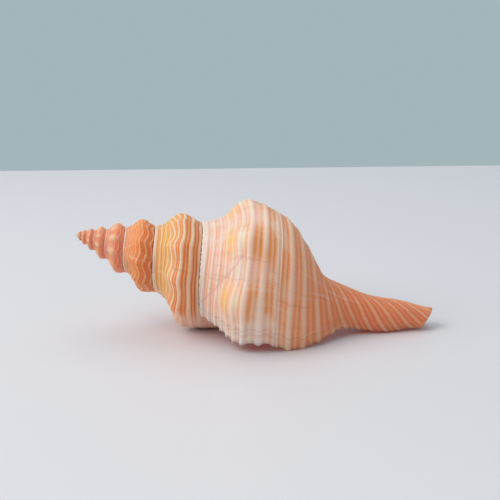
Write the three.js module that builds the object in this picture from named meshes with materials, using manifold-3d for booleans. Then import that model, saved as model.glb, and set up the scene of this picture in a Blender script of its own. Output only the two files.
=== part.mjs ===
// A conch shell: a tall-spired, orange sea snail shell with a long siphonal canal,
// lying on a table with its mouth down. It grew as one piece, so it is one mesh.
//
// The whole shell follows one law of growth: the animal adds to its lip while it turns
// about the coiling axis, and everything keeps its shape while it gets bigger, by
// WHORL_RATIO in each turn. A point of the shell is given by
//   turn     how many turns before the finished lip it was laid down (0 at the lip)
//   station  its place across the whorl: 0 at the suture above it, 1 where the next
//            whorl's suture would lie, and more than 1 on the base and the canal.
// Lengths are in millimetres. The coiling axis is X in the shell's own frame, with the
// apex at the origin; the group at the end lays the shell down in its resting pose.

import * as THREE from "three";
import { ParametricGeometry } from "three/addons/geometries/ParametricGeometry.js";
import { mergeGeometries, mergeVertices } from "three/addons/utils/BufferGeometryUtils.js";
import Module from "manifold-3d";

const LENGTH = 110; // apex to canal tip, along the coiling axis
const WHORL_RATIO = 1.56; // growth in one turn
const SUTURE_AT_LIP = 42.9; // apex to the point where the lip meets the spire
const TURNS = 6.5; // turns from the apex to the lip
const TIP = 0.6; // the rounded tip of the apex stands this far along the axis

const LIP_AHEAD = 0.022; // how far the lip is ahead at the shoulder, in turns,
const LOBE_AHEAD = 0.013; // and in the lobe over the base,
const LIP_STRAIGHT_UNTIL = 0.2; // in the last part of a turn before the lip

const WALL = 1.6; // thickness of the last whorl at the lip; it grows with the shell,
const WALL_SHARE = 0.25; // and is at most this share of the radius
const GLAZE = 0.4; // thickness of the glaze on the inner lip
const HOLLOW_TURNS = 2; // how far back the whorls are open
const PAST_LIP = 0.05; // the hollow runs on past the lip by this share of a turn
const MOUTH_TOP = 0.17; // station of the mouth's top corner, below the suture
const MOUTH_END = 2.2; // station past the canal's open end
const PILLAR_END = 1.6; // station where the hollow stops further in, at the pillar

// The turns at which ribs stand in the last whorl; the first is yet to grow. Each has a knob.
const RIB_TURNS = [0.05, -0.08, -0.19, -0.325, -0.43, -0.53, -0.64, -0.75, -0.86, -0.96];
const RIBS_BEFORE = 10; // ribs in each turn before those
const RIB_HEIGHT = 2; // height of a knob where the whorl has its size at the lip
const RIB_CREST = 0.6; // station of the knobs
const RIB_SPREAD = 0.22; // how far a rib reaches across the whorl, in stations

const SWELL = 0.09; // how much fuller the last whorl is below its shoulder
const YOUNG_FULLER = 0.09; // how much fuller the young whorls are, at first,
const YOUNG_UNTIL = 26; // and how far from the apex that ends

const BEND_FROM = 82; // the canal is straight up to here along the axis,
const BEND_RISE = 1.9; // and its tip is bent this far
const BEND_TOWARDS = -130 / 360; // towards the back, this far in turns from the lip
const NIB_FROM = 97; // from here the canal narrows like a pen nib,
const NIB_NARROWING = 0.3; // by this share at its tip,
const END_SLANT = 2.6; // and its end is cut slantwise by this much

// Laid down, the shell rests on the shoulder inside its mouth, the lip and the canal's tip.
const LIP_AZIMUTH = 204.49; // degrees round the axis from +Y, through +Z, to the lip
const AXIS_TILT = 15.54; // degrees that the canal points down

const STEPS = 36; // facets in one turn
const BAND_ROWS = 7; // rows of facets across a spire whorl
const BASE_ROWS = 13; // rows from there to the end of the canal
const HOLLOW_ROWS = 13; // rows of facets on each side of the hollow

// The outline of a whorl: the radius as a share of the distance from the apex.
const OUTLINE = [
  [0.0, 0.35], // suture
  [0.15, 0.355],
  [0.35, 0.378], // sloping ramp
  [0.6, 0.432], // shoulder
  [0.8, 0.402],
  [1.0, 0.35], // where the next suture would lie
  [1.2, 0.294],
  [1.4, 0.197], // base
  [1.6, 0.086],
  [1.8, 0.07], // neck of the canal
  [2.05, 0.049],
  [2.5, 0.051], // back of the canal
  [2.8, 0.036], // underside of the canal
  [3.12, 0.02], // pillar side of the canal
];

// The outline as a smooth curve through its points.
function slopeAt(station) {
  const last = OUTLINE.length - 1;
  const x = THREE.MathUtils.clamp(station, OUTLINE[0][0], OUTLINE[last][0]);
  const i = Math.min(OUTLINE.findLastIndex(([at]) => at <= x), last - 1);
  const tangent = (k) => {
    const [x0, y0] = OUTLINE[Math.max(k - 1, 0)];
    const [x1, y1] = OUTLINE[Math.min(k + 1, last)];
    return (y1 - y0) / (x1 - x0);
  };
  const [x0, y0] = OUTLINE[i];
  const [x1, y1] = OUTLINE[i + 1];
  const width = x1 - x0;
  const t = (x - x0) / width;
  return (
    y0 * (1 + 2 * t) * (1 - t) ** 2 +
    tangent(i) * width * t * (1 - t) ** 2 +
    y1 * t ** 2 * (3 - 2 * t) +
    tangent(i + 1) * width * t ** 2 * (t - 1)
  );
}

const MERGE_WITHIN = 1e-4; // points closer than this are one point

const { smoothstep } = THREE.MathUtils;
const growth = (turn) => WHORL_RATIO ** turn;
const along = (turn, station) => SUTURE_AT_LIP * growth(turn + station);
const stationOf = (turn, distance) =>
  Math.log(distance / SUTURE_AT_LIP) / Math.log(WHORL_RATIO) - turn;

// 1 on the crest of a rib, and 0 midway between two.
function ribAt(turn) {
  const oldest = RIB_TURNS.length - 1;
  const i = RIB_TURNS.findLastIndex((at) => at >= turn);
  const phase =
    i === oldest
      ? (RIB_TURNS[oldest] - turn) * RIBS_BEFORE
      : (RIB_TURNS[i] - turn) / (RIB_TURNS[i] - RIB_TURNS[i + 1]);
  return (0.5 + 0.5 * Math.cos(2 * Math.PI * phase)) ** 1.4;
}

// The radius, with the ribs, which fade out at both sutures.
function radiusAt(turn, station) {
  const early = Math.min(turn, RIB_TURNS[0]);
  const across = (station - RIB_CREST) / RIB_SPREAD;
  const fade = Math.sin(Math.PI * THREE.MathUtils.clamp(station, 0, 1)) ** 0.6;
  const knob = RIB_HEIGHT * growth(turn) * fade * Math.exp(-(across ** 2)) * ribAt(early);
  const below = smoothstep(station, 0.4, 1) * (1 - smoothstep(station, 1, 1.5));
  const grown = smoothstep(turn, -1, -0.8) * (1 - smoothstep(turn, -0.3, 0));
  const swell = 1 + SWELL * below * grown;
  const distance = along(turn, station);
  const young = 1 + YOUNG_FULLER * (1 - smoothstep(distance, YOUNG_UNTIL / 2, YOUNG_UNTIL));
  return distance * slopeAt(station) * swell * young + knob;
}

// How much further the lip has grown than a straight line, in turns: at the shoulder, and in
// a lobe over the base. It starts from nothing at the suture.
function lipGrowth(turn, station) {
  const shoulder = smoothstep(station, 0, 0.12) * (1 - smoothstep(station, 0.35, 1));
  const lobe = smoothstep(station, 0.9, 1.15) * (1 - smoothstep(station, 1.27, 1.4));
  return (LIP_AHEAD * shoulder + LOBE_AHEAD * lobe) * smoothstep(turn, -LIP_STRAIGHT_UNTIL, 0);
}

// Places a point that lies `distance` along the axis and `radius` from it.
function place(turn, distance, radius, target = new THREE.Vector3()) {
  const angle = 2 * Math.PI * turn;
  const towards = 2 * Math.PI * BEND_TOWARDS;
  const bent = Math.max(0, (distance - BEND_FROM) / (LENGTH - BEND_FROM)) ** 2 * BEND_RISE;
  const nib = smoothstep(distance, NIB_FROM, LENGTH);
  const front = 0.5 - 0.5 * Math.cos(angle - towards);
  const narrowed = radius * (1 - NIB_NARROWING * nib);
  return target.set(
    distance - END_SLANT * front * nib,
    narrowed * Math.cos(angle) + bent * Math.cos(towards),
    narrowed * Math.sin(angle) + bent * Math.sin(towards),
  );
}

function outside(turn, station, target) {
  const grown = turn + lipGrowth(turn, station);
  return place(grown, along(turn, station), radiusAt(turn, station), target);
}

// A face over a loop of points that is flat, or nearly so, seen along `normal`.
function faceOver(loop, normal) {
  const turnFlat = new THREE.Quaternion().setFromUnitVectors(normal, new THREE.Vector3(0, 0, 1));
  const flat = loop.map((p) => {
    const q = p.clone().applyQuaternion(turnFlat);
    return new THREE.Vector2(q.x, q.y);
  });
  const counterClockwise = !THREE.ShapeUtils.isClockWise(flat);
  const triangles = THREE.ShapeUtils.triangulateShape(flat, []);
  const face = new THREE.BufferGeometry().setFromPoints(loop);
  const [a, b, c] = triangles[0].map((i) => flat[i]);
  const facesUp = (b.x - a.x) * (c.y - a.y) - (b.y - a.y) * (c.x - a.x) > 0;
  return face.setIndex(triangles.flatMap((t) => (facesUp ? t : [...t].reverse())));
}

const count = (n, make) => Array.from({ length: n + 1 }, (_, i) => make(i / n));

// The solid shell with its mouth closed: the spire, the base with the canal, and faces
// over the mouth, the canal's end and the apex.
function closedShell() {
  const lastStation = (turn) => stationOf(turn, LENGTH);
  const spire = new ParametricGeometry(
    (t, s, p) => outside(-TURNS * (1 - t), s, p),
    STEPS * TURNS,
    BAND_ROWS,
  );
  const baseStation = (turn, s) => 1 + (lastStation(turn) - 1) * s;
  const base = new ParametricGeometry(
    (t, s, p) => outside(t - 1, baseStation(t - 1, s), p),
    STEPS,
    BASE_ROWS,
  );
  const lip = count(BAND_ROWS, (s) => outside(0, s));
  const lipBase = count(BASE_ROWS, (s) => outside(0, baseStation(0, s)));
  const innerLip = count(BASE_ROWS, (s) => outside(-1, baseStation(-1, s)));
  const mouth = faceOver(
    [...lip.slice(0, -1), ...lipBase, ...innerLip.slice(1).reverse()],
    new THREE.Vector3(0, 0, 1),
  );
  const canalEnd = faceOver(
    count(STEPS, (t) => outside(t - 1, baseStation(t - 1, 1))),
    new THREE.Vector3(1, 0, 0),
  );
  const apexLoop = [
    ...count(BAND_ROWS, (s) => outside(-TURNS, s)),
    ...count(STEPS, (t) => outside(-TURNS + 1 - t, 0)).slice(1, -1),
  ];
  const apex = new THREE.BufferGeometry().setFromPoints([new THREE.Vector3(TIP, 0, 0), ...apexLoop]);
  apex.setIndex(apexLoop.flatMap((_, i) => [0, i + 1, ((i + 1) % apexLoop.length) + 1]));
  return [spire, base, mouth, canalEnd, apex];
}

// The hollow inside the last whorls, out through the mouth and the canal.
function hollow() {
  // It draws back from the canal's end to the pillar over the first half turn.
  const end = (turn) =>
    Math.max(PILLAR_END, MOUTH_END + (MOUTH_END - PILLAR_END) * 2 * Math.min(turn, 0));
  const outer = (turn, station) => {
    const step = 0.01; // to either side, for the slope of the wall
    const at = (s) => new THREE.Vector2(along(turn, s), radiusAt(turn, s));
    const direction = at(station + step).sub(at(station - step)).normalize();
    const wall = Math.min(WALL * growth(turn), WALL_SHARE * at(station).y);
    const p = at(station).add(new THREE.Vector2(direction.y, -direction.x).multiplyScalar(wall));
    return place(turn + lipGrowth(turn, station), p.x, p.y);
  };
  const inner = (turn, station) => {
    const radius = radiusAt(turn - 1, station + 1) + GLAZE * growth(turn);
    return place(turn, along(turn, station), radius);
  };
  const section = (turn) => {
    const stations = count(HOLLOW_ROWS, (s) => MOUTH_TOP + (end(turn) - MOUTH_TOP) * s);
    const back = stations.slice(1).reverse();
    return [...stations.map((s) => outer(turn, s)), ...back.map((s) => inner(turn, s))];
  };
  const length = HOLLOW_TURNS + PAST_LIP;
  const turns = count(Math.round(STEPS * length), (t) => length * t - HOLLOW_TURNS);
  const rings = turns.map(section);
  const sides = rings[0].length;
  const wall = new THREE.BufferGeometry().setFromPoints(rings.flat());
  const quads = [];
  for (let i = 0; i < rings.length - 1; i++) {
    for (let j = 0; j < sides; j++) {
      const [a, b] = [i * sides + j, i * sides + ((j + 1) % sides)];
      quads.push(a, b + sides, b, a, a + sides, b + sides);
    }
  }
  wall.setIndex(quads);
  const ahead = (turn) => new THREE.Vector3(0, -Math.sin(2 * Math.PI * turn), Math.cos(2 * Math.PI * turn));
  return [
    wall,
    faceOver(rings[0], ahead(turns[0]).negate()),
    faceOver(rings[rings.length - 1], ahead(turns[turns.length - 1])),
  ];
}

const wasm = await Module();
wasm.setup();

function solid(pieces) {
  const bare = pieces.map((g) => {
    const plain = g.index ? g.toNonIndexed() : g;
    return new THREE.BufferGeometry().setAttribute("position", plain.getAttribute("position"));
  });
  const merged = mergeVertices(mergeGeometries(bare), MERGE_WITHIN);
  const index = merged.index.array;
  const triVerts = [];
  for (let i = 0; i < index.length; i += 3) {
    const [a, b, c] = index.slice(i, i + 3);
    if (a !== b && b !== c && c !== a) triVerts.push(a, b, c);
  }
  return new wasm.Manifold(
    new wasm.Mesh({
      numProp: 3,
      vertProperties: merged.attributes.position.array,
      triVerts: new Uint32Array(triVerts),
    }),
  );
}

function geometryOf(manifold) {
  const mesh = manifold.getMesh();
  return new THREE.BufferGeometry()
    .setAttribute("position", new THREE.BufferAttribute(mesh.vertProperties, 3))
    .setIndex(new THREE.BufferAttribute(mesh.triVerts, 1));
}

const outer = solid(closedShell());
const inner = solid(hollow());
const shellSolid = outer.subtract(inner);

const material = new THREE.MeshStandardMaterial({ color: 0xe9a877, roughness: 0.45, metalness: 0 });
const shell = new THREE.Mesh(geometryOf(shellSolid), material);
shell.name = "shell";
shell.rotation.set(
  THREE.MathUtils.degToRad(LIP_AZIMUTH),
  THREE.MathUtils.degToRad(AXIS_TILT),
  0,
  "YXZ",
);

const conch = new THREE.Group();
conch.add(shell);
const bounds = new THREE.Box3().setFromObject(shell, true);
const middle = bounds.getCenter(new THREE.Vector3());
shell.position.set(-middle.x, -middle.y, -bounds.min.z);
export default conch;
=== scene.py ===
# A conch shell lying mouth down on a table: the orange, tall-spired shell of a sea snail, with
# knobs on its shoulder, pale cords wound round it and a long canal. Lengths are in metres, in
# the frame of the solids, with +Z up.

import math

import bmesh
import bpy
import numpy as np
from mathutils import Matrix, Vector


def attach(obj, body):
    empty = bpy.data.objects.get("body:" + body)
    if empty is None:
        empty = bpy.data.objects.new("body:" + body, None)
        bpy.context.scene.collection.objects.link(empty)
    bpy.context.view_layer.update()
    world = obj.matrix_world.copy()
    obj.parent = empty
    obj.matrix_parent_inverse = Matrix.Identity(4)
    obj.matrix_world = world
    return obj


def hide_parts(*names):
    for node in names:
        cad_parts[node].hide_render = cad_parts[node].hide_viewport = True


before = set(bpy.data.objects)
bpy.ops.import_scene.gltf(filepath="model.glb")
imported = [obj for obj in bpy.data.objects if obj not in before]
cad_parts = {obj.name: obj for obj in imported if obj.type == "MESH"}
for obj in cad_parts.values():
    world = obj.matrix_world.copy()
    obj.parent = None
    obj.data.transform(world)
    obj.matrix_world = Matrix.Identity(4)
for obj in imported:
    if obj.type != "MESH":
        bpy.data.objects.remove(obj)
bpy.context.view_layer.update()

# Camera: a normal lens, close up and a little above the table, looking at the shell's side with
# the apex on the left. It is first because it settles how the shell is seen.

VIEW_TURN = math.radians(4.64)
VIEW_DROP = math.radians(14.3)
VIEW_ROLL = math.radians(-1.38)
VIEW_DISTANCE = 0.2636
APEX_LEFT_OF_VIEW = 0.0528
APEX_ABOVE_VIEW = 0.0049
LENS = 63.1

apex_vertex = min(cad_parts["shell"].data.vertices, key=lambda v: v.co.x).co.copy()
towards_camera = Vector(
    (
        math.sin(VIEW_TURN) * math.cos(VIEW_DROP),
        -math.cos(VIEW_TURN) * math.cos(VIEW_DROP),
        math.sin(VIEW_DROP),
    )
)
level = Vector((math.cos(VIEW_TURN), math.sin(VIEW_TURN), 0.0))
view_right = Matrix.Rotation(VIEW_ROLL, 3, towards_camera) @ level
view_up = towards_camera.cross(view_right)

camera_data = bpy.data.cameras.new("camera")
camera_data.lens = LENS
camera_data.sensor_width = 36.0
camera_data.clip_start = 0.01
camera = bpy.data.objects.new("camera", camera_data)
bpy.context.scene.collection.objects.link(camera)
camera.matrix_world = Matrix.Translation(
    apex_vertex
    + view_right * APEX_LEFT_OF_VIEW
    - view_up * APEX_ABOVE_VIEW
    + towards_camera * VIEW_DISTANCE
) @ Matrix((view_right, view_up, towards_camera)).transposed().to_4x4()
bpy.context.scene.camera = camera

# Table and light: a white table with a faint sheen, and soft daylight from a big window on the
# upper left, filled by a pale room.

TABLE_SIZE = (1.3, 0.62)

bm = bmesh.new()
bmesh.ops.create_grid(bm, x_segments=1, y_segments=1, size=0.5)
bmesh.ops.scale(bm, vec=(TABLE_SIZE[0], TABLE_SIZE[1], 1.0), verts=bm.verts)
table_mesh = bpy.data.meshes.new("table")
bm.to_mesh(table_mesh)
bm.free()
table = bpy.data.objects.new("table", table_mesh)
bpy.context.scene.collection.objects.link(table)

table_paint = bpy.data.materials.new("white_table")
table_paint.use_nodes = True
paint = table_paint.node_tree.nodes["Principled BSDF"]
paint.inputs["Base Color"].default_value = (0.77, 0.71, 0.73, 1.0)
paint.inputs["Roughness"].default_value = 0.42
table_mesh.materials.append(table_paint)

world = bpy.data.worlds.new("pale_room")
world.use_nodes = True
room = world.node_tree.nodes["Background"]
room.inputs["Color"].default_value = (0.75, 0.93, 0.99, 1.0)
room.inputs["Strength"].default_value = 0.5
bpy.context.scene.world = world
bpy.context.scene.view_settings.view_transform = "Standard"

for name, place, size, power, colour in (
    ("window", (-0.55, -0.25, 0.62), 0.7, 4.9, (1.0, 0.985, 0.96)),
    ("overhead", (0.05, 0.35, 0.85), 0.8, 2.2, (0.93, 0.96, 1.0)),
):
    lamp = bpy.data.lights.new(name, "AREA")
    lamp.shape = "SQUARE"
    lamp.size = size
    lamp.energy = power
    lamp.color = colour
    light = bpy.data.objects.new(name, lamp)
    light.location = place
    light.rotation_euler = (Vector((0.0, 0.0, 0.02)) - Vector(place)).to_track_quat("-Z", "Y").to_euler()
    bpy.context.scene.collection.objects.link(light)

# Conch shell: one piece of calcium carbonate, grown at the lip a little at a time. A point is
# known by its turn, counted back from the finished lip, and its station across the whorl, from
# the suture above (0) to where the next suture lies (1), and on over the base to the canal.

LENGTH = 0.110
TIP = 0.0006
LIP_AZIMUTH = math.radians(204.49)
AXIS_TILT = math.radians(15.54)

WHORL_RATIO = 1.56
SUTURE_AT_LIP = 0.0429
TURNS = 9.0

# Radius as a share of the distance from the apex, at stations across the whorl.
OUTLINE_STATIONS = (
    0.0, 0.15, 0.35, 0.6, 0.8, 1.0, 1.2, 1.4, 1.5, 1.6, 1.8, 2.05, 2.5, 2.8, 3.12
)
OUTLINE_SLOPES = (
    0.35, 0.355, 0.378, 0.432, 0.402, 0.35, 0.294, 0.196, 0.13, 0.093, 0.069, 0.049, 0.051,
    0.036, 0.02
)

# The back of the last whorl is fuller below its shoulder, by this share.
SWELL = 0.09

# The young whorls are fuller, as far as this from the apex.
YOUNG_FULLER = 0.09
YOUNG_UNTIL = 0.026
APEX_FULLER = 0.25
APEX_UNTIL = 0.009

# The canal bends up a little, narrows like a pen nib, and its end is cut slantwise.
BEND_FROM = 0.082
BEND_RISE = 0.0019
BEND_TOWARDS = math.radians(-130.0)
NIB_FROM = 0.097
NIB_NARROWING = 0.3
END_SLANT = 0.0026

# Ribs, by their place in turns before the lip; further back there are RIBS_IN_A_TURN, and the
# next one would stand past the lip.
RIB_TURNS = (-0.08, -0.19, -0.325, -0.43, -0.53, -0.64, -0.75, -0.86, -0.96)
RIBS_IN_A_TURN = 10
NEXT_RIB_TURN = 0.05
RIB_HEIGHT = 0.002
RIB_CREST = 0.6

# Stations of the main cords; from the last one they follow at even spacing down the canal.
CORD_STATIONS = (0.085, 0.19, 0.295, 0.385, 0.475, 0.56, 0.655, 0.83, 0.985, 1.12, 1.245, 1.36)
CANAL_CORD_STEP = 0.1
CORD_HEIGHT = 0.0005

# The step at the healed break.
BREAK_HEIGHT = 0.0015

# Growth teeth on the upper edge of a whorl.
TEETH_IN_A_TURN = 54

# On the spire the cords bend towards the apex over each rib, by this share of their spacing.
CORD_WAVE = 0.45

# How far the lip is ahead of a straight line, in turns: at the shoulder, in a lobe over the base
# and along the canal, with a scallop for each cord. It is straight this far back and beyond.
LIP_AHEAD = 0.05
LOBE_AHEAD = 0.013
CANAL_AHEAD = 0.03
SCALLOP = 0.0022
LIP_STRAIGHT_TURN = -0.2

# Thickness of the wall inside and at its edge, and of the glaze, at the size of the lip; then how
# far back the hollow and the groove in the canal go, in turns, and where they lie.
WALL = 0.0019
EDGE_WALL = 0.0007
GLAZE = 0.0003
HOLLOW_TURNS = 2.0
MOUTH_TOP = 0.15
GROOVE_TURNS = 0.42
PILLAR_STATION = 1.65

STEPS_IN_A_TURN = 144
ROWS_IN_A_CORD = 8


def smooth(value, start, end):
    t = np.clip((value - start) / (end - start), 0.0, 1.0)
    return t * t * (3.0 - 2.0 * t)


def bump(value, middle, half_width):
    return np.exp(-(((value - middle) / half_width) ** 2))


def slope_at(station):
    """Radius over distance from the apex: a smooth curve through the outline's points."""
    xs = np.array(OUTLINE_STATIONS)
    ys = np.array(OUTLINE_SLOPES)
    x = np.clip(station, xs[0], xs[-1])
    i = np.clip(np.searchsorted(xs, x, side="right") - 1, 0, len(xs) - 2)
    low = np.maximum(np.arange(len(xs)) - 1, 0)
    high = np.minimum(np.arange(len(xs)) + 1, len(xs) - 1)
    tangent = (ys[high] - ys[low]) / (xs[high] - xs[low])
    width = xs[i + 1] - xs[i]
    t = (x - xs[i]) / width
    return (
        ys[i] * (1 + 2 * t) * (1 - t) ** 2
        + tangent[i] * width * t * (1 - t) ** 2
        + ys[i + 1] * t**2 * (3 - 2 * t)
        + tangent[i + 1] * width * t**2 * (t - 1)
    )


def cords_passed(station):
    """How many main cords lie above a station; a whole number is the crest of a cord."""
    past = (station - CORD_STATIONS[-1]) / CANAL_CORD_STEP
    before = (station - CORD_STATIONS[0]) / (CORD_STATIONS[1] - CORD_STATIONS[0])
    inside = np.interp(station, CORD_STATIONS, np.arange(len(CORD_STATIONS)))
    return inside + np.maximum(past, 0.0) + np.minimum(before, 0.0)


def station_of_cord(passed):
    last = len(CORD_STATIONS) - 1
    return (
        np.interp(passed, np.arange(last + 1), CORD_STATIONS)
        + np.maximum(passed - last, 0.0) * CANAL_CORD_STEP
        + np.minimum(passed, 0.0) * (CORD_STATIONS[1] - CORD_STATIONS[0])
    )


def last_station(turn):
    return math.log(LENGTH / SUTURE_AT_LIP) / math.log(WHORL_RATIO) - turn


def rib_at(turn):
    """0 between two ribs and 1 on the crest of one."""
    older = np.arange(RIB_TURNS[-1] - 1 / RIBS_IN_A_TURN, -TURNS - 1, -1 / RIBS_IN_A_TURN)
    crests = np.concatenate((older[::-1], RIB_TURNS[::-1], (NEXT_RIB_TURN,)))
    order = np.interp(turn, crests, np.arange(len(crests)))
    return (0.5 + 0.5 * np.cos(2 * np.pi * order)) ** 1.4


def relief(turn, station):
    """Height of the ribs and the cords, in metres at the size of the lip."""
    spire = smooth(-turn, 0.75, 1.5)
    young = smooth(turn, -7.6, -6.0)
    across = np.where(
        station > 1.0,
        0.0,
        np.sin(np.pi * np.clip(station, 0.0, 1.0)) ** 0.6
        * bump(station, RIB_CREST - 0.08 * spire, 0.2 + 0.08 * spire),
    )
    ribs = RIB_HEIGHT * (1.0 + 0.4 * smooth(-turn, 2.2, 3.5)) * rib_at(turn) * across

    passed = cords_passed(station) + CORD_WAVE * rib_at(turn) * smooth(-turn, 0.7, 2.2)
    main = np.maximum(np.cos(2 * np.pi * passed), -0.35) + 0.35
    thin = bump(passed % 1.0, 0.5, 0.13) * (0.45 + 0.6 * smooth(station, 1.25, 1.7))
    fade = smooth(station, 0.0, 0.06) * (1 - smooth(station, 0.96, 1.0) * (station <= 1.0))
    size = (1.0 - 0.35 * smooth(station, 1.3, 1.9)) * (1.0 + 0.6 * smooth(-turn, 1.5, 3.0))
    return (ribs + CORD_HEIGHT * size * fade * (0.75 * main + thin)) * young


def upper_edge(turn, station):
    """How far a whorl's upper edge stands out over the whorl before it, and its growth teeth."""
    teeth = 0.5 + 0.5 * np.cos(2 * np.pi * TEETH_IN_A_TURN * turn + 2.0 * np.sin(2 * np.pi * 7.3 * turn))
    proud = smooth(station, 0.0, 0.012) * (1 - smooth(station, 0.02, 0.11))
    lift = 0.00042 * proud - 0.00022 * bump(station, 0.0, 0.005)
    forward = -0.00028 * teeth * smooth(station, 0.0, 0.01) * (1 - smooth(station, 0.012, 0.06))
    young = smooth(turn, -6.6, -5.0)
    return lift * young, forward * young


def healed_break(turn, station):
    """A step in the third whorl, where the snail mended a broken lip."""
    edge = -2.1 - 0.043 * bump(station, 0.45, 0.3)
    along = smooth(turn, edge, edge + 0.004) * (1 - smooth(turn, -2.1, -1.95))
    across = smooth(station, 0.02, 0.1) * (1 - smooth(station, 0.93, 1.0))
    return BREAK_HEIGHT * along * across


def lip_growth(station):
    """How much further the lip has grown than a straight line, in turns."""
    shoulder = LIP_AHEAD * smooth(station, 0.0, 0.07) * (1 - smooth(station, 0.05, 0.95))
    canal = CANAL_AHEAD * smooth(station, 1.45, 1.75) * (1 - smooth(station, 1.9, 2.2))
    lobe = LOBE_AHEAD * smooth(station, 0.9, 1.15) * (1 - smooth(station, 1.27, 1.4))
    scallops = SCALLOP * np.cos(2 * np.pi * cords_passed(station)) * smooth(station, 0.1, 0.5)
    return shoulder + lobe + canal + scallops * (1 - 0.6 * smooth(station, 1.4, 1.6))


def place(turn, distance, radius):
    """Points of the shell's own frame: apex at the origin, coiling axis on +X, lip on +Y."""
    angle = 2 * np.pi * turn
    front = 0.5 - 0.5 * np.cos(angle - BEND_TOWARDS)
    nib = smooth(distance, NIB_FROM, LENGTH)
    radius = radius * (1 - NIB_NARROWING * nib)
    bent = (np.maximum(0.0, distance - BEND_FROM) / (LENGTH - BEND_FROM)) ** 2 * BEND_RISE
    distance = distance - END_SLANT * front * nib
    return np.stack(
        (
            distance,
            radius * np.cos(angle) + bent * math.cos(BEND_TOWARDS),
            radius * np.sin(angle) + bent * math.sin(BEND_TOWARDS),
        ),
        axis=-1,
    )


def profile(turn, station):
    distance = SUTURE_AT_LIP * WHORL_RATIO ** (turn + station)
    below = smooth(station, 0.4, 1.0) * (1 - smooth(station, 1.0, 1.5))
    grown = smooth(turn, -1.0, -0.8) * (1 - smooth(turn, -0.3, 0.0))
    young = 1 + YOUNG_FULLER * (1 - smooth(distance, YOUNG_UNTIL / 2, YOUNG_UNTIL))
    young = young + APEX_FULLER * (1 - smooth(distance, 0.0, APEX_UNTIL))
    radius = distance * slope_at(station) * (1 + SWELL * below * grown) * young
    rounded = np.clip((distance - TIP) / 0.001, 0.0, 1.0)
    return distance, radius * (1 - (1 - rounded) ** 2) ** 0.5


def surface(turn, station, marks=1.0, lift=0.0):
    """Points of the shell's surface; marks fades its relief, and lift moves it outwards."""
    station = np.minimum(station, last_station(turn))
    growth = WHORL_RATIO**turn
    distance, radius = profile(turn, station)
    d0, r0 = profile(turn, station - 0.004)
    d1, r1 = profile(turn, station + 0.004)
    length = np.maximum(np.hypot(d1 - d0, r1 - r0), 1e-12)
    edge, forward = upper_edge(turn, station)
    height = marks * growth * (relief(turn, station) + edge + healed_break(turn, station)) + lift
    distance = distance - (r1 - r0) / length * height + marks * forward * growth
    radius = radius + (d1 - d0) / length * height
    grown = lip_growth(station) * smooth(turn, LIP_STRAIGHT_TURN, 0.0)
    return place(turn + grown, distance, radius)


def outside(turn, station):
    """The outer surface. A whorl's lower edge is the next whorl's upper edge, a turn later."""
    meets_next = (np.abs(station - 1.0) < 1e-6) & (turn <= -1.0 + 1e-6)
    turn = np.where(meets_next, turn + 1.0, turn)
    station = np.where(meets_next, 0.0, station)
    # Fewer steps where the shell is small.
    step = 1 / STEPS_IN_A_TURN
    twice = (turn < -3.0 + 1e-6) | ((station > 1.5) & (turn > -1.0 + 1e-6) & (turn < -1e-6))
    four = turn < -5.0 + 1e-6
    turn = np.where(four, np.round(turn / (4 * step)) * 4 * step, turn)
    turn = np.where(twice & ~four, np.round(turn / (2 * step)) * 2 * step, turn)
    # The glaze of the inner lip buries the cords beside the mouth.
    bare = 1 - 0.85 * (1 - smooth(turn, -1.0, -0.93)) * (station > 1.0) * (turn > -1.0 + 1e-6)
    return surface(turn, station, bare)


def inside(turn, row):
    """The hollow: rows below 0 lie on the outer wall and rows above 0 on the pillar's side."""
    far = last_station(turn)
    closed = smooth(-turn, GROOVE_TURNS * 0.6, GROOVE_TURNS)
    end = far + (PILLAR_STATION - far) * smooth(-turn, GROOVE_TURNS, GROOVE_TURNS + 0.25)
    share = np.abs(row) / last_station(0.0)
    settled = smooth(-turn, 0.0, 0.03)
    station = np.abs(row) * (1 - settled) + (MOUTH_TOP + share * (end - MOUTH_TOP)) * settled
    growth = WHORL_RATIO**turn
    bare = 1 - smooth(-turn, 0.0, 0.03)
    pillar = surface(turn - 1.0, station + 1.0, 1.0 - 0.85 * settled, GLAZE * growth * settled)
    first = (turn > -1e-6)[..., None]
    pillar = np.where(first, surface(turn - 1.0, station + 1.0, 1.0), pillar)
    wall = EDGE_WALL + (WALL - EDGE_WALL) * smooth(-turn, 0.0, 0.08)
    wall = wall * smooth(-turn, 0.0, 0.004) * growth * (1 - 0.45 * smooth(station, 1.4, 1.9))
    outer = surface(turn, station, 0.75 - 0.55 * smooth(-turn, 0.0, 0.15) + 0.25 * bare, -wall)
    outer = np.where(first, surface(turn, station, 1.0), outer)
    shut = (smooth(share, 0.7, 1.0) * closed)[..., None]
    outer = outer + (pillar - outer) * shut
    return np.where((row <= 0)[..., None], outer, pillar)


def sheet(bm, turns, rows, points_at, is_inside=0.0):
    """A grid over turns and rows, carrying its place in the growth, moved to its place."""
    growth_map = bm.loops.layers.uv["growth"]
    whorl_map = bm.loops.layers.uv["whorl"]
    side_map = bm.loops.layers.uv["side"]
    made = bmesh.ops.create_grid(bm, x_segments=len(turns) - 1, y_segments=len(rows) - 1, size=0.5)
    verts = made["verts"]
    column = np.array([round((v.co.x + 0.5) * (len(turns) - 1)) for v in verts])
    line = np.array([round((v.co.y + 0.5) * (len(rows) - 1)) for v in verts])
    turn, row = turns[column], rows[line]
    passed = cords_passed(np.abs(row))
    rib = rib_at(turn)
    index = {v: k for k, v in enumerate(verts)}
    for face in {f for v in verts for f in v.link_faces}:
        for loop in face.loops:
            k = index[loop.vert]
            loop[growth_map].uv = (turn[k], passed[k])
            loop[whorl_map].uv = (abs(row[k]), rib[k])
            loop[side_map].uv = (is_inside, float(row[k] > 0))
    for v, p in zip(verts, points_at(turn, row)):
        v.co = p


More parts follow.
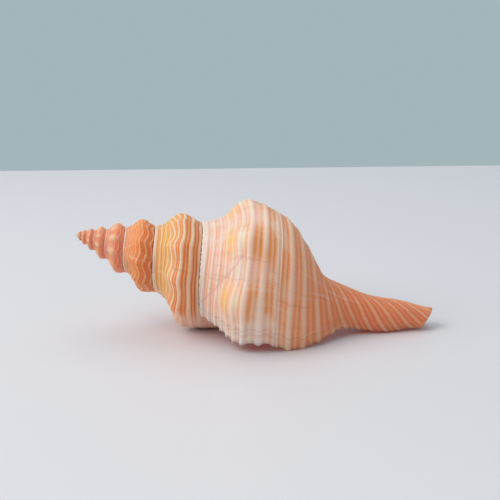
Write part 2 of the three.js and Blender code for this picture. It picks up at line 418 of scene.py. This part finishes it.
bm = bmesh.new()
for layer in ("growth", "whorl", "side"):
    bm.loops.layers.uv.new(layer)

# Spire: the whorls from the apex to the lip.
spire_turns = np.linspace(-TURNS, 0.0, round(TURNS * STEPS_IN_A_TURN) + 1)
whorl_cords = np.arange(0, math.floor(cords_passed(1.0) * ROWS_IN_A_CORD) + 1) / ROWS_IN_A_CORD
spire_rows = np.concatenate(
    ((0.0, 0.006, 0.012, 0.02, 0.035, 0.055, 0.07), station_of_cord(whorl_cords), (0.993, 1.0))
)
sheet(bm, spire_turns, spire_rows, outside)

# Base and canal: laid down in the last turn only, and cut off where the canal ends.
base_turns = np.linspace(-1.0, 0.0, STEPS_IN_A_TURN + 1)
base_cords = (
    np.arange(math.ceil(cords_passed(1.0) * ROWS_IN_A_CORD), cords_passed(3.1) * ROWS_IN_A_CORD)
    / ROWS_IN_A_CORD
)
base_rows = np.concatenate(((1.0,), station_of_cord(base_cords), (3.13,)))
sheet(bm, base_turns, base_rows, outside)

# Hollow: from the edge of the lip back into the whorls.
near_lip = np.array((0.0, -0.0012, -0.0026, -0.0045, -0.0075, -0.012, -0.02, -0.03, -0.045))
deeper = np.linspace(-0.06, -HOLLOW_TURNS, 84)
wall_rows = np.concatenate((spire_rows, base_rows[1:]))
wall_rows = np.append(wall_rows[wall_rows < last_station(0.0)], last_station(0.0))
pillar_rows = base_rows[base_rows < last_station(-1.0)][1:] - 1.0
pillar_rows = np.append(pillar_rows, last_station(0.0))
sheet(
    bm,
    np.concatenate((near_lip, deeper))[::-1],
    np.concatenate((-wall_rows[::-1], pillar_rows)),
    inside,
    is_inside=1.0,
)
bmesh.ops.remove_doubles(bm, verts=bm.verts, dist=1.5e-6)
open_edges = [e for e in bm.edges if e.is_boundary]
bmesh.ops.holes_fill(bm, edges=open_edges, sides=0)
rest = Matrix.Rotation(AXIS_TILT, 4, "Y") @ Matrix.Rotation(LIP_AZIMUTH, 4, "X")
rest.translation = apex_vertex - rest @ Vector((TIP, 0.0, 0.0))
bmesh.ops.transform(bm, matrix=rest, verts=bm.verts)
bmesh.ops.recalc_face_normals(bm, faces=bm.faces)
for face in bm.faces:
    face.smooth = True
conch_mesh = bpy.data.meshes.new("conch_shell")
bm.to_mesh(conch_mesh)
bm.free()
conch = bpy.data.objects.new("conch_shell", conch_mesh)
bpy.context.scene.collection.objects.link(conch)

# Colours: an orange ground with pale cords, different in each whorl, and a white tip.
YOUNG_GROUND = ((0.0, "#F69E7C"), (0.5, "#F69466"), (1.0, "#E8744A"))
THIRD_GROUND = ((0.0, "#F69A66"), (0.3, "#F78C40"), (0.6, "#F47C24"), (1.0, "#DE6416"))
SECOND_GROUND = (
    (0.0, "#F49A5E"), (0.12, "#F79A4C"), (0.34, "#FA9E3E"), (0.48, "#F8902A"), (0.66, "#F07A18"),
    (0.85, "#E67620"), (1.0, "#C85C14"),
)
LAST_GROUND = (
    (0.0, "#FAB89C"), (0.13, "#FAB28C"), (0.2, "#F8A470"), (0.3, "#F6985C"), (0.42, "#F48E56"),
    (0.55, "#F07E4C"), (0.74, "#EA7848"), (0.84, "#EA8C52"), (1.0, "#F0A868"),
)
YOUNG_CORD = ((0.0, "#F0B79C"), (1.0, "#E9A284"))
THIRD_CORD = ((0.0, "#F2C3A4"), (0.6, "#F0B888"), (1.0, "#E8A878"))
SECOND_CORD = ((0.0, "#F8C49A"), (0.3, "#FCCF98"), (0.5, "#FCDFC2"), (1.0, "#F6CAA8"))
LAST_CORD = (
    (0.0, "#FDD9CA"), (0.2, "#FDD8C6"), (0.38, "#FAC8AC"), (0.5, "#F3B08A"), (0.8, "#F0AC82"),
    (1.0, "#EEC896"),
)
WHITE_TIP = "#F6EEE8"
EDGE_WHITE = "#FCE6DC"
KNOB_YELLOW = "#FCC27A"
KNOB_CREAM = "#EEDDC4"
KNOB_ORANGE = "#F09436"
BETWEEN_KNOBS = "#F8BEAA"
CALLUS = "#FCCAB4"
GLAZE_ORANGE = "#F0804E"
PILLAR_PINK = "#F8B08C"
SCAR_PINK = "#DDB0A8"
LINE_BROWN = "#B5683C"

conch_finish = bpy.data.materials.new("shell")
conch_finish.use_nodes = True
nodes = conch_finish.node_tree.nodes
links = conch_finish.node_tree.links
carbonate = nodes["Principled BSDF"]


def tint(code):
    """A colour given as #RRGGBB, as light rather than as screen values."""
    parts = [int(code[i : i + 2], 16) / 255 for i in (1, 3, 5)]
    return tuple(p / 12.92 if p < 0.04045 else ((p + 0.055) / 1.055) ** 2.4 for p in parts) + (1.0,)


def feed(socket, value):
    if isinstance(value, bpy.types.NodeSocket):
        links.new(value, socket)
    elif isinstance(value, str):
        socket.default_value = tint(value)
    else:
        socket.default_value = value


def calc(operation, first, second=0.0):
    step = nodes.new("ShaderNodeMath")
    step.operation = operation
    feed(step.inputs[0], first)
    feed(step.inputs[1], second)
    return step.outputs[0]


def product(*values):
    total = values[0]
    for value in values[1:]:
        total = calc("MULTIPLY", total, value)
    return total


def rise(value, start, end):
    """0 before start and 1 past end, smoothly; it falls where end comes first."""
    step = nodes.new("ShaderNodeMapRange")
    step.interpolation_type = "SMOOTHSTEP"
    feed(step.inputs["Value"], value)
    step.inputs["From Min"].default_value = start
    step.inputs["From Max"].default_value = end
    return step.outputs[0]


def hump(value, middle, reach):
    return rise(calc("ABSOLUTE", calc("SUBTRACT", value, middle)), reach, 0.0)


def mixed(share, under, over):
    step = nodes.new("ShaderNodeMix")
    step.data_type = "RGBA"
    feed(step.inputs[0], share)
    feed(step.inputs[6], under)
    feed(step.inputs[7], over)
    return step.outputs[2]


def bands(value, stops):
    step = nodes.new("ShaderNodeValToRGB")
    feed(step.inputs[0], value)
    elements = step.color_ramp.elements
    while len(elements) < len(stops):
        elements.new(0.5)
    for element, (place, code) in zip(elements, stops):
        element.position = place
        element.color = tint(code)
    return step.outputs[0]


def streaks(across_turns, across_cords, layer, detail=2.0):
    """Noise drawn out along the growth: so many changes in a turn and from cord to cord."""
    vector = nodes.new("ShaderNodeCombineXYZ")
    feed(vector.inputs[0], calc("MULTIPLY", turn, across_turns))
    feed(vector.inputs[1], calc("MULTIPLY", passed, across_cords))
    vector.inputs[2].default_value = layer
    step = nodes.new("ShaderNodeTexNoise")
    step.inputs["Scale"].default_value = 1.0
    step.inputs["Detail"].default_value = detail
    links.new(vector.outputs[0], step.inputs["Vector"])
    return step.outputs[0]


def read_map(name):
    source = nodes.new("ShaderNodeUVMap")
    source.uv_map = name
    parts = nodes.new("ShaderNodeSeparateXYZ")
    links.new(source.outputs[0], parts.inputs[0])
    return parts.outputs[0], parts.outputs[1]


turn, passed = read_map("growth")
station, rib = read_map("whorl")
inner, pillar = read_map("side")

# Cords waver a little as they go, and a thin one runs between two main ones.
wavering = calc("ADD", passed, product(calc("SUBTRACT", streaks(7.0, 0.7, 3.0), 0.5), 0.3))
wavering = calc("ADD", wavering, product(rib, rise(turn, -0.7, -2.2), CORD_WAVE))
wave = calc("COSINE", product(wavering, 2 * math.pi))
on_spire = rise(station, 1.35, 1.15)
broad_cord = product(rise(wave, -0.5, 0.95), on_spire)
narrow_cord = product(rise(wave, 0.2, 1.0), calc("SUBTRACT", 1.0, on_spire))
main_cord = calc("ADD", broad_cord, narrow_cord)
thin_cord = product(rise(wave, -0.72, -1.0), 0.5)
worn = rise(streaks(11.0, 0.9, 8.0), 0.25, 0.5)
cord = product(calc("MAXIMUM", main_cord, thin_cord), calc("ADD", 0.55, product(worn, 0.45)))

patchy = streaks(13.0, 0.55, 1.0, 3.0)
growth_streak = streaks(70.0, 0.12, 5.0, 3.0)
growth_line = streaks(260.0, 0.3, 6.0, 2.0)

# The last whorl: pink ramp, knobs, and an orange base and canal.
whole_way = calc("DIVIDE", station, 3.13)
last_ground = bands(whole_way, LAST_GROUND)
last_cord = bands(whole_way, LAST_CORD)
shoulder = hump(station, 0.62, 0.36)
pale_gap = product(shoulder, rise(rib, 0.5, 0.1), 0.85)
last_ground = mixed(pale_gap, last_ground, BETWEEN_KNOBS)
knob_band = product(rib, rise(station, 0.5, 0.6), rise(station, 1.0, 0.8), 0.8)
last_ground = mixed(knob_band, last_ground, KNOB_ORANGE)
pale_patches = product(rise(patchy, 0.47, 0.62), rise(station, 1.3, 0.9), 0.6)
last_ground = mixed(pale_patches, last_ground, last_cord)
last = mixed(product(cord, 0.85), last_ground, last_cord)
last = mixed(product(rib, hump(station, 0.45, 0.13), 0.9), last, KNOB_YELLOW)
last = mixed(product(rib, hump(station, 0.59, 0.07), 0.8), last, KNOB_CREAM)
near_lip = product(rise(turn, -0.07, -0.02), rise(station, 1.25, 0.75), 0.75)
last = mixed(near_lip, last, mixed(cord, "#F2C8B4", "#FBE4DA"))

# The whorls before it.
second = mixed(product(cord, 0.85), bands(station, SECOND_GROUND), bands(station, SECOND_CORD))
second = mixed(product(rise(turn, -0.98, -0.9), rise(turn, -0.7, -0.8), 0.7), second, CALLUS)
third = mixed(product(cord, 0.75), bands(station, THIRD_GROUND), bands(station, THIRD_CORD))
young = mixed(product(cord, 0.5), bands(station, YOUNG_GROUND), bands(station, YOUNG_CORD))
young = mixed(product(rib, hump(station, 0.5, 0.3), 0.7), young, "#F4D2AC")
colour = mixed(rise(turn, -2.75, -2.45), young, third)
colour = mixed(rise(turn, -1.75, -1.5), colour, second)
colour = mixed(rise(turn, -0.8, -0.6), colour, last)
tip = rise(turn, -7.3, -7.7)
colour = mixed(tip, colour, WHITE_TIP)

# Growth streaks, lines where growth stopped, the suture's white edge, and painted shade: a dark band in
# the crease above it.
colour = mixed(product(rise(growth_streak, 0.42, 0.3), 0.2), colour, LINE_BROWN)
colour = mixed(product(rise(growth_streak, 0.58, 0.7), 0.2), colour, EDGE_WHITE)
colour = mixed(product(rise(growth_line, 0.4, 0.25), 0.2), colour, LINE_BROWN)
pause = calc("MAXIMUM", hump(turn, -0.03, 0.0025), product(hump(turn, -0.118, 0.0015), 0.7))
pause = calc("MAXIMUM", pause, product(hump(turn, -0.055, 0.0012), 0.6))
colour = mixed(product(pause, rise(station, 1.5, 1.2), 0.2), colour, LINE_BROWN)
edge = product(rise(station, 0.075, 0.02), calc("SUBTRACT", 1.0, tip))
colour = mixed(product(edge, 0.8), colour, EDGE_WHITE)
# Painted shade: dark brown laid along the crease just above each suture, where the next whorl overhangs.
painted_suture_shade = product(rise(station, 0.965, 0.995), rise(turn, -0.98, -1.0))
colour = mixed(product(painted_suture_shade, 0.75), colour, "#8A3C0C")

# A healed scar across the last ramp.
scar_path = calc("SUBTRACT", calc("MULTIPLY", station, -0.205), 0.036)
from_scar = calc("SUBTRACT", turn, scar_path)
scar = product(hump(from_scar, 0.0, 0.006), rise(station, 0.64, 0.55))
colour = mixed(product(scar, 0.6), colour, SCAR_PINK)

# Inside: a glossy orange glaze, paler on the pillar.
glaze = mixed(product(pillar, 0.7), GLAZE_ORANGE, PILLAR_PINK)
deep = product(inner, rise(turn, -0.001, -0.012))
colour = mixed(deep, colour, glaze)
links.new(colour, carbonate.inputs["Base Color"])

grain = nodes.new("ShaderNodeTexNoise")
grain.inputs["Scale"].default_value = 2600.0
grain.inputs["Detail"].default_value = 2.0
position = nodes.new("ShaderNodeTexCoord")
links.new(position.outputs["Object"], grain.inputs["Vector"])
outer = calc("SUBTRACT", 1.0, deep)
height = calc("ADD", product(growth_line, 0.6), product(growth_streak, 0.7))
height = calc("ADD", height, product(cord, 0.3))
height = calc("ADD", height, product(grain.outputs[0], 0.25))
height = calc("SUBTRACT", height, product(calc("MAXIMUM", pause, scar), 0.5))
relief_bump = nodes.new("ShaderNodeBump")
relief_bump.inputs["Strength"].default_value = 0.6
relief_bump.inputs["Distance"].default_value = 0.00035
links.new(product(height, outer), relief_bump.inputs["Height"])
links.new(relief_bump.outputs[0], carbonate.inputs["Normal"])

dullness = calc("ADD", 0.38, product(growth_streak, 0.22))
roughness = calc("SUBTRACT", dullness, product(deep, 0.25))
links.new(roughness, carbonate.inputs["Roughness"])
carbonate.inputs["Subsurface Weight"].default_value = 0.6
carbonate.inputs["Subsurface Radius"].default_value = (1.0, 0.45, 0.25)
carbonate.inputs["Subsurface Scale"].default_value = 0.003

# Daylight comes through the thin wall behind the lip, so it glows a little inside.
lit_through = product(deep, rise(turn, -0.35, -0.02), 0.12)
carbonate.inputs["Emission Color"].default_value = tint("#FF7A30")
links.new(lit_through, carbonate.inputs["Emission Strength"])
conch_mesh.materials.append(conch_finish)

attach(conch, "root")
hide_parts("shell")
